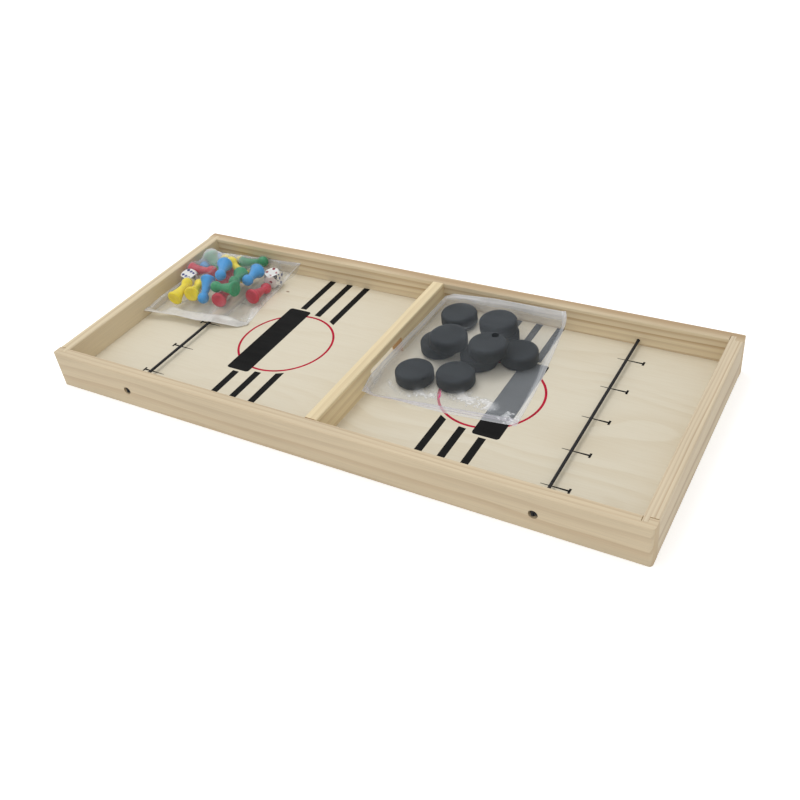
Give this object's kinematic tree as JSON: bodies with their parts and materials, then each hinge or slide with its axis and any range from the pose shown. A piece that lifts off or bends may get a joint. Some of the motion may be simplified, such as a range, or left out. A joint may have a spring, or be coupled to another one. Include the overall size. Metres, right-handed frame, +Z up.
{
  "type": "sling puck board game",
  "caption": "Long wooden tray with a gated divider and an elastic sling across each half, holding charcoal pucks and coloured pawns in clear bags.",
  "frame": {"origin": "bottom centre of the tray, on the plane it rests on", "axes": "+X along the tray to the half with the puck bag, +Y across to the back rail, +Z up"},
  "size_m": [0.5, 0.215, 0.0432],
  "materials": {
    "rail_wood": "pale sanded pine",
    "ply": "pale plywood with printed play markings",
    "elastic": "round black woven elastic",
    "puck": "satin charcoal",
    "pawn_yellow": "satin yellow",
    "pawn_blue": "satin sky blue",
    "pawn_green": "satin green",
    "pawn_red": "satin red",
    "die": "gloss",
    "film": "clear wrinkled film"
  },
  "bodies": {
    "tray": {"front_rail": "rail_wood", "back_rail": "rail_wood", "left_end_rail": "rail_wood", "right_end_rail": "rail_wood", "divider": "rail_wood", "play_board": "ply", "left_sling_front_knot": "elastic", "left_sling_back_knot": "elastic", "right_sling_front_knot": "elastic", "right_sling_back_knot": "elastic"},
    "left_sling_pull": {"left_sling_middle": "elastic"},
    "left_front_leg_turn": {"left_sling_front_leg": "elastic"},
    "left_back_leg_turn": {"left_sling_back_leg": "elastic"},
    "right_sling_pull": {"right_sling_middle": "elastic"},
    "right_front_leg_turn": {"right_sling_front_leg": "elastic"},
    "right_back_leg_turn": {"right_sling_back_leg": "elastic"},
    "puck_bag_lift": {"puck_bag": "film", "puck_01": "puck", "puck_02": "puck", "puck_03": "puck", "puck_04": "puck", "puck_05": "puck", "puck_06": "puck", "puck_07": "puck", "puck_08": "puck", "puck_09": "puck", "puck_10": "puck"},
    "pawn_bag_lift": {"pawn_bag": "film", "pawn_yellow_1": "pawn_yellow", "pawn_yellow_2": "pawn_yellow", "pawn_yellow_3": "pawn_yellow", "pawn_yellow_4": "pawn_yellow", "pawn_blue_1": "pawn_blue", "pawn_blue_2": "pawn_blue", "pawn_blue_3": "pawn_blue", "pawn_blue_4": "pawn_blue", "pawn_green_1": "pawn_green", "pawn_green_2": "pawn_green", "pawn_green_3": "pawn_green", "pawn_green_4": "pawn_green", "pawn_red_1": "pawn_red", "pawn_red_2": "pawn_red", "pawn_red_3": "pawn_red", "pawn_red_4": "pawn_red", "die_1": "die", "die_2": "die"}
  },
  "joints": [
    {"name": "left_sling_slide", "type": "slide", "parent": "tray", "child": "left_sling_pull", "axis": [-1, 0, 0], "range_m": [0, 0.042], "stiffness_N_per_m": 8},
    {"name": "left_front_leg_hinge", "type": "hinge", "parent": "tray", "child": "left_front_leg_turn", "pos_m": [-0.1732, -0.096, 0.0146], "axis": [0, 0, 1], "range_deg": [0, 27]},
    {"name": "left_back_leg_hinge", "type": "hinge", "parent": "tray", "child": "left_back_leg_turn", "pos_m": [-0.1732, 0.096, 0.0146], "axis": [0, 0, 1], "range_deg": [-27, 0]},
    {"name": "right_sling_slide", "type": "slide", "parent": "tray", "child": "right_sling_pull", "axis": [1, 0, 0], "range_m": [0, 0.042], "stiffness_N_per_m": 8},
    {"name": "right_front_leg_hinge", "type": "hinge", "parent": "tray", "child": "right_front_leg_turn", "pos_m": [0.1732, -0.096, 0.0146], "axis": [0, 0, 1], "range_deg": [-27, 0]},
    {"name": "right_back_leg_hinge", "type": "hinge", "parent": "tray", "child": "right_back_leg_turn", "pos_m": [0.1732, 0.096, 0.0146], "axis": [0, 0, 1], "range_deg": [0, 27]},
    {"name": "puck_bag_lift_slide", "type": "slide", "parent": "tray", "child": "puck_bag_lift", "axis": [0, 0, 1], "range_m": [0, 0.05]},
    {"name": "pawn_bag_lift_slide", "type": "slide", "parent": "tray", "child": "pawn_bag_lift", "axis": [0, 0, 1], "range_m": [0, 0.05]}
  ],
  "couplings": [
    {"joint": "left_front_leg_hinge", "follows": "left_sling_slide", "rad_per_m": 11.039},
    {"joint": "left_back_leg_hinge", "follows": "left_sling_slide", "rad_per_m": -11.039},
    {"joint": "right_front_leg_hinge", "follows": "right_sling_slide", "rad_per_m": -11.039},
    {"joint": "right_back_leg_hinge", "follows": "right_sling_slide", "rad_per_m": 11.039}
  ]
}
